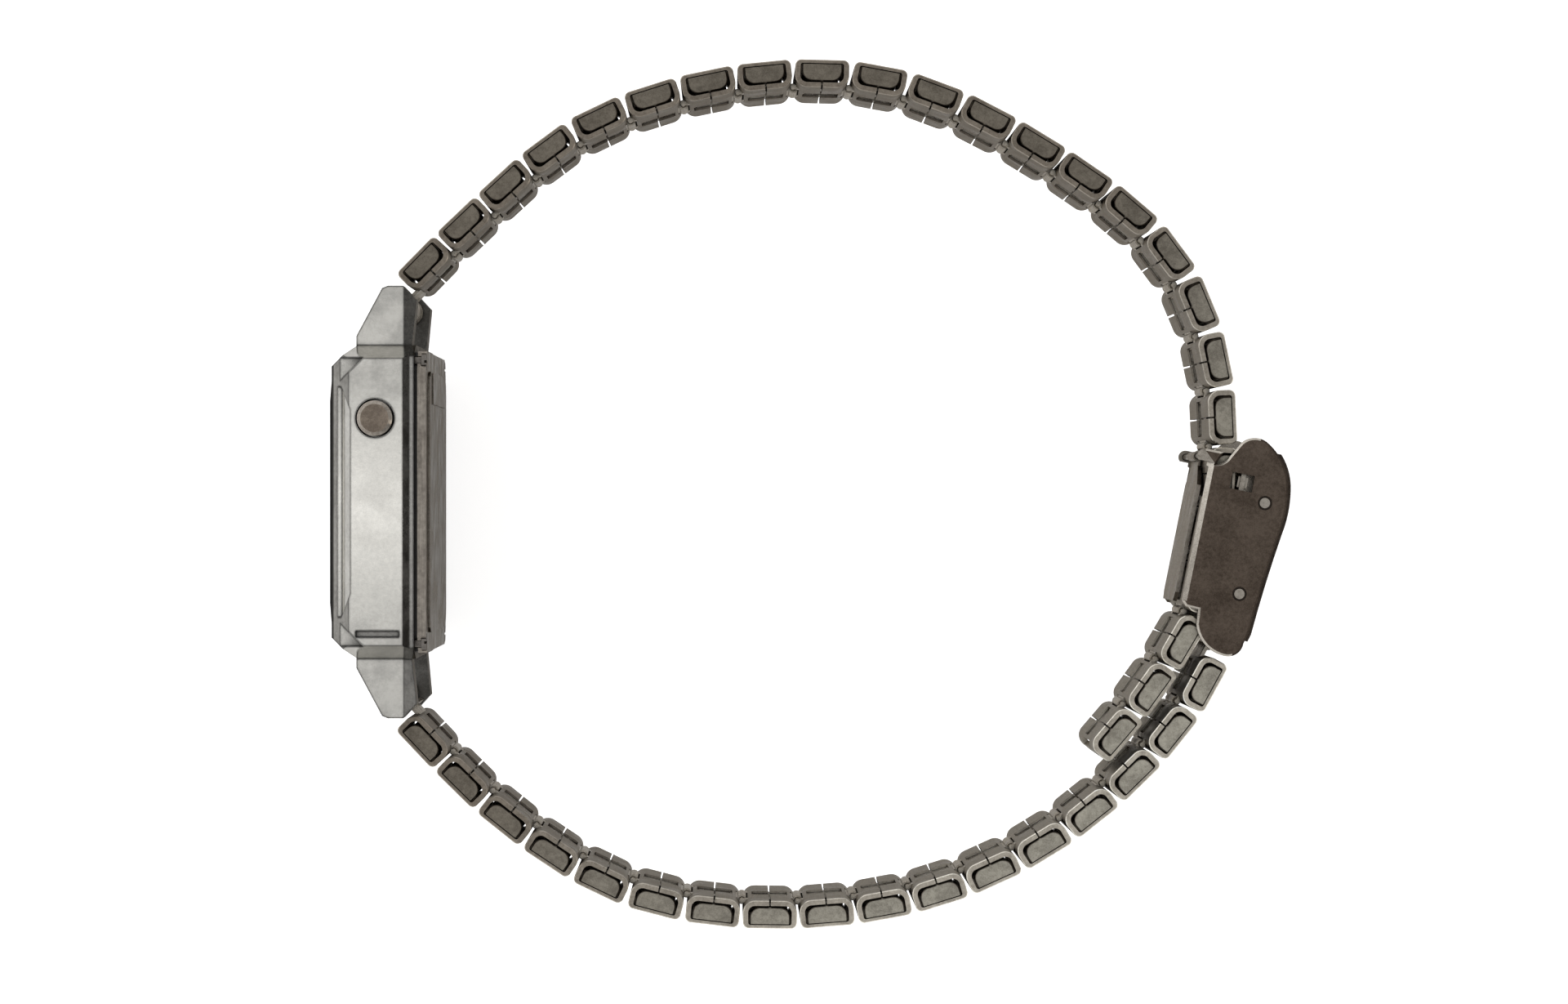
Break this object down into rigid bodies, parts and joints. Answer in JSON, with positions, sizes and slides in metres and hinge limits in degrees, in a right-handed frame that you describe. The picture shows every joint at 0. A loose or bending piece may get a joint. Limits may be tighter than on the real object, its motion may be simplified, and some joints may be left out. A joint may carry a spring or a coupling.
{
  "type": "digital wristwatch",
  "caption": "Rectangular digital wristwatch with a flat display, side push buttons and a folded-link steel bracelet closed by a sliding clasp.",
  "frame": {"origin": "under the middle of the whole watch, on the floor that it lies on", "axes": "+Z along the loop's axis towards the 3 o'clock side of the case, +X from the crystal across the loop to the clasp, +Y towards 12 o'clock"},
  "size_m": [0.0826, 0.075, 0.0348],
  "materials": {
    "link_steel": "brushed along the band's width, worn bright on the edges",
    "case_steel": "satin with polished facets",
    "clasp_steel": "satin sheet steel with fine scratches",
    "pin_steel": "polished",
    "back_steel": "satin",
    "crystal_glass": "clear",
    "dial_plastic": "gloss",
    "lcd_glass": "display grey",
    "zebra_rubber": "matt",
    "gasket_rubber": "matt",
    "frame_plastic": "moulded",
    "board_laminate": "lacquered",
    "battery_steel": "drawn",
    "clip_steel": "sprung strip"
  },
  "bodies": {
    "case": {"case": "case_steel", "crystal": "crystal_glass", "dial_plate": "dial_plastic", "lcd_panel": "lcd_glass", "lcd_connectors": "zebra_rubber", "module_frame": "frame_plastic", "circuit_board": "board_laminate", "battery": "battery_steel", "battery_clip": "clip_steel", "case_back_gasket": "gasket_rubber", "case_back": "back_steel", "case_back_screws": "pin_steel", "spring_bars": "pin_steel"},
    "button_right_upper": {"button_right_upper": "pin_steel"},
    "button_left_upper": {"button_left_upper": "pin_steel"},
    "button_left_lower": {"button_left_lower": "pin_steel"},
    "upper_link_01": {"upper_link_01": "link_steel"},
    "upper_link_02": {"upper_link_02": "link_steel"},
    "upper_link_03": {"upper_link_03": "link_steel"},
    "upper_link_04": {"upper_link_04": "link_steel"},
    "upper_link_05": {"upper_link_05": "link_steel"},
    "upper_link_06": {"upper_link_06": "link_steel"},
    "upper_link_07": {"upper_link_07": "link_steel"},
    "upper_link_08": {"upper_link_08": "link_steel"},
    "upper_link_09": {"upper_link_09": "link_steel"},
    "upper_link_10": {"upper_link_10": "link_steel"},
    "upper_link_11": {"upper_link_11": "link_steel"},
    "upper_link_12": {"upper_link_12": "link_steel"},
    "upper_link_13": {"upper_link_13": "link_steel"},
    "upper_link_14": {"upper_link_14": "link_steel"},
    "upper_link_15": {"upper_link_15": "link_steel"},
    "upper_link_16": {"upper_link_16": "link_steel"},
    "upper_link_17": {"upper_link_17": "link_steel"},
    "upper_link_18": {"upper_link_18": "link_steel"},
    "upper_link_19": {"upper_link_19": "link_steel"},
    "clasp": {"clasp_housing": "clasp_steel", "clasp_inner_links": "link_steel", "clasp_pins": "pin_steel"},
    "clasp_flap": {"clasp_flap": "clasp_steel"},
    "clasp_cover": {"clasp_cover": "clasp_steel"},
    "tail_link_1": {"tail_link_1": "link_steel"},
    "tail_link_2": {"tail_link_2": "link_steel"},
    "tail_link_3": {"tail_link_3": "link_steel"},
    "lower_link_17": {"lower_link_17": "link_steel"},
    "lower_link_16": {"lower_link_16": "link_steel"},
    "lower_link_15": {"lower_link_15": "link_steel"},
    "lower_link_14": {"lower_link_14": "link_steel"},
    "lower_link_13": {"lower_link_13": "link_steel"},
    "lower_link_12": {"lower_link_12": "link_steel"},
    "lower_link_11": {"lower_link_11": "link_steel"},
    "lower_link_10": {"lower_link_10": "link_steel"},
    "lower_link_09": {"lower_link_09": "link_steel"},
    "lower_link_08": {"lower_link_08": "link_steel"},
    "lower_link_07": {"lower_link_07": "link_steel"},
    "lower_link_06": {"lower_link_06": "link_steel"},
    "lower_link_05": {"lower_link_05": "link_steel"},
    "lower_link_04": {"lower_link_04": "link_steel"},
    "lower_link_03": {"lower_link_03": "link_steel"},
    "lower_link_02": {"lower_link_02": "link_steel"},
    "lower_link_01": {"lower_link_01": "link_steel"}
  },
  "joints": [
    {"name": "button_right_upper_press", "type": "slide", "parent": "case", "child": "button_right_upper", "axis": [0, 0, -1], "range_m": [0, 0.0006], "stiffness_N_per_m": 4000},
    {"name": "button_left_upper_press", "type": "slide", "parent": "case", "child": "button_left_upper", "axis": [0, 0, 1], "range_m": [0, 0.0006], "stiffness_N_per_m": 4000},
    {"name": "button_left_lower_press", "type": "slide", "parent": "case", "child": "button_left_lower", "axis": [0, 0, 1], "range_m": [0, 0.0006], "stiffness_N_per_m": 4000},
    {"name": "upper_link_01_pivot", "type": "hinge", "parent": "case", "child": "upper_link_01", "pos_m": [-0.03576, 0.01626, 0.0174], "axis": [0, 0, 1], "range_deg": [0, 44.42]},
    {"name": "upper_link_02_pivot", "type": "hinge", "parent": "upper_link_01", "child": "upper_link_02", "pos_m": [-0.03116, 0.02096, 0.0174], "axis": [0, 0, 1], "range_deg": [0, 2]},
    {"name": "upper_link_03_pivot", "type": "hinge", "parent": "upper_link_02", "child": "upper_link_03", "pos_m": [-0.02765, 0.0243, 0.0174], "axis": [0, 0, 1], "range_deg": [0, 1]},
    {"name": "upper_link_04_pivot", "type": "hinge", "parent": "upper_link_03", "child": "upper_link_04", "pos_m": [-0.02408, 0.02758, 0.0174], "axis": [0, 0, 1], "range_deg": [0, 6]},
    {"name": "upper_link_05_pivot", "type": "hinge", "parent": "upper_link_04", "child": "upper_link_05", "pos_m": [-0.02018, 0.03047, 0.0174], "axis": [0, 0, 1], "range_deg": [0, 11]},
    {"name": "upper_link_06_pivot", "type": "hinge", "parent": "upper_link_05", "child": "upper_link_06", "pos_m": [-0.01581, 0.03257, 0.0174], "axis": [0, 0, 1], "range_deg": [0, 8]},
    {"name": "upper_link_07_pivot", "type": "hinge", "parent": "upper_link_06", "child": "upper_link_07", "pos_m": [-0.01118, 0.03403, 0.0174], "axis": [0, 0, 1], "range_deg": [0, 6]},
    {"name": "upper_link_08_pivot", "type": "hinge", "parent": "upper_link_07", "child": "upper_link_08", "pos_m": [-0.00643, 0.03501, 0.0174], "axis": [0, 0, 1], "range_deg": [0, 6]},
    {"name": "upper_link_09_pivot", "type": "hinge", "parent": "upper_link_08", "child": "upper_link_09", "pos_m": [-0.0016, 0.03548, 0.0174], "axis": [0, 0, 1], "range_deg": [0, 7]},
    {"name": "upper_link_10_pivot", "type": "hinge", "parent": "upper_link_09", "child": "upper_link_10", "pos_m": [0.00324, 0.03536, 0.0174], "axis": [0, 0, 1], "range_deg": [0, 9]},
    {"name": "upper_link_11_pivot", "type": "hinge", "parent": "upper_link_10", "child": "upper_link_11", "pos_m": [0.00801, 0.03448, 0.0174], "axis": [0, 0, 1], "range_deg": [0, 10]},
    {"name": "upper_link_12_pivot", "type": "hinge", "parent": "upper_link_11", "child": "upper_link_12", "pos_m": [0.01256, 0.03279, 0.0174], "axis": [0, 0, 1], "range_deg": [0, 7]},
    {"name": "upper_link_13_pivot", "type": "hinge", "parent": "upper_link_12", "child": "upper_link_13", "pos_m": [0.01686, 0.03055, 0.0174], "axis": [0, 0, 1], "range_deg": [0, 4]},
    {"name": "upper_link_14_pivot", "type": "hinge", "parent": "upper_link_13", "child": "upper_link_14", "pos_m": [0.021, 0.02802, 0.0174], "axis": [0, 0, 1], "range_deg": [0, 3]},
    {"name": "upper_link_15_pivot", "type": "hinge", "parent": "upper_link_14", "child": "upper_link_15", "pos_m": [0.025, 0.02528, 0.0174], "axis": [0, 0, 1], "range_deg": [0, 6]},
    {"name": "upper_link_16_pivot", "type": "hinge", "parent": "upper_link_15", "child": "upper_link_16", "pos_m": [0.0287, 0.02214, 0.0174], "axis": [0, 0, 1], "range_deg": [0, 13]},
    {"name": "upper_link_17_pivot", "type": "hinge", "parent": "upper_link_16", "child": "upper_link_17", "pos_m": [0.03159, 0.01824, 0.0174], "axis": [0, 0, 1], "range_deg": [0, 14]},
    {"name": "upper_link_18_pivot", "type": "hinge", "parent": "upper_link_17", "child": "upper_link_18", "pos_m": [0.03345, 0.01377, 0.0174], "axis": [0, 0, 1], "range_deg": [0, 11]},
    {"name": "upper_link_19_pivot", "type": "hinge", "parent": "upper_link_18", "child": "upper_link_19", "pos_m": [0.03442, 0.00901, 0.0174], "axis": [0, 0, 1], "range_deg": [0, 9]},
    {"name": "clasp_pivot", "type": "hinge", "parent": "upper_link_19", "child": "clasp", "pos_m": [0.03464, 0.00417, 0.0174], "axis": [0, 0, 1], "range_deg": [0, 6]},
    {"name": "clasp_flap_hinge", "type": "hinge", "parent": "clasp", "child": "clasp_flap", "pos_m": [0.03378, 0.00332, 0.0174], "axis": [0, 0, 1], "range_deg": [-100, 0]},
    {"name": "clasp_cover_hinge", "type": "hinge", "parent": "clasp", "child": "clasp_cover", "pos_m": [0.03942, 0.00208, 0.0174], "axis": [0, 0, 1], "range_deg": [0, 100]},
    {"name": "tail_link_1_pivot", "type": "hinge", "parent": "clasp", "child": "tail_link_1", "pos_m": [0.03243, -0.01018, 0.0174], "axis": [0, 0, 1], "range_deg": [-25, 0]},
    {"name": "tail_link_2_pivot", "type": "hinge", "parent": "tail_link_1", "child": "tail_link_2", "pos_m": [0.02996, -0.01435, 0.0174], "axis": [0, 0, 1], "range_deg": [-25, 0]},
    {"name": "tail_link_3_pivot", "type": "hinge", "parent": "tail_link_2", "child": "tail_link_3", "pos_m": [0.02714, -0.0183, 0.0174], "axis": [0, 0, 1], "range_deg": [-25, 0]},
    {"name": "lower_link_17_pivot", "type": "hinge", "parent": "clasp", "child": "lower_link_17", "pos_m": [0.03498, -0.01232, 0.0174], "axis": [0, 0, 1], "range_deg": [0, 17.2]},
    {"name": "lower_link_16_pivot", "type": "hinge", "parent": "lower_link_17", "child": "lower_link_16", "pos_m": [0.03186, -0.01805, 0.0174], "axis": [0, 0, 1], "range_deg": [0, 10]},
    {"name": "lower_link_15_pivot", "type": "hinge", "parent": "lower_link_16", "child": "lower_link_15", "pos_m": [0.02883, -0.02184, 0.0174], "axis": [0, 0, 1], "range_deg": [0, 7]},
    {"name": "lower_link_14_pivot", "type": "hinge", "parent": "lower_link_15", "child": "lower_link_14", "pos_m": [0.02536, -0.02523, 0.0174], "axis": [0, 0, 1], "range_deg": [0, 6]},
    {"name": "lower_link_13_pivot", "type": "hinge", "parent": "lower_link_14", "child": "lower_link_13", "pos_m": [0.02156, -0.02825, 0.0174], "axis": [0, 0, 1], "range_deg": [0, 7]},
    {"name": "lower_link_12_pivot", "type": "hinge", "parent": "lower_link_13", "child": "lower_link_12", "pos_m": [0.01742, -0.03077, 0.0174], "axis": [0, 0, 1], "range_deg": [0, 7]},
    {"name": "lower_link_11_pivot", "type": "hinge", "parent": "lower_link_12", "child": "lower_link_11", "pos_m": [0.013, -0.03277, 0.0174], "axis": [0, 0, 1], "range_deg": [0, 7]},
    {"name": "lower_link_10_pivot", "type": "hinge", "parent": "lower_link_11", "child": "lower_link_10", "pos_m": [0.00837, -0.03422, 0.0174], "axis": [0, 0, 1], "range_deg": [0, 7]},
    {"name": "lower_link_09_pivot", "type": "hinge", "parent": "lower_link_10", "child": "lower_link_09", "pos_m": [0.0036, -0.0351, 0.0174], "axis": [0, 0, 1], "range_deg": [0, 6]},
    {"name": "lower_link_08_pivot", "type": "hinge", "parent": "lower_link_09", "child": "lower_link_08", "pos_m": [-0.00123, -0.03547, 0.0174], "axis": [0, 0, 1], "range_deg": [0, 5]},
    {"name": "lower_link_07_pivot", "type": "hinge", "parent": "lower_link_08", "child": "lower_link_07", "pos_m": [-0.00608, -0.03542, 0.0174], "axis": [0, 0, 1], "range_deg": [0, 6]},
    {"name": "lower_link_06_pivot", "type": "hinge", "parent": "lower_link_07", "child": "lower_link_06", "pos_m": [-0.0109, -0.03486, 0.0174], "axis": [0, 0, 1], "range_deg": [0, 8]},
    {"name": "lower_link_05_pivot", "type": "hinge", "parent": "lower_link_06", "child": "lower_link_05", "pos_m": [-0.01559, -0.03363, 0.0174], "axis": [0, 0, 1], "range_deg": [0, 11]},
    {"name": "lower_link_04_pivot", "type": "hinge", "parent": "lower_link_05", "child": "lower_link_04", "pos_m": [-0.01997, -0.03154, 0.0174], "axis": [0, 0, 1], "range_deg": [0, 8]},
    {"name": "lower_link_03_pivot", "type": "hinge", "parent": "lower_link_04", "child": "lower_link_03", "pos_m": [-0.024, -0.02885, 0.0174], "axis": [0, 0, 1], "range_deg": [0, 5]},
    {"name": "lower_link_02_pivot", "type": "hinge", "parent": "lower_link_03", "child": "lower_link_02", "pos_m": [-0.02779, -0.02582, 0.0174], "axis": [0, 0, 1], "range_deg": [0, 6]},
    {"name": "lower_link_01_pivot", "type": "hinge", "parent": "lower_link_02", "child": "lower_link_01", "pos_m": [-0.03125, -0.02242, 0.0174], "axis": [0, 0, 1], "range_deg": [0, 2]}
  ]
}
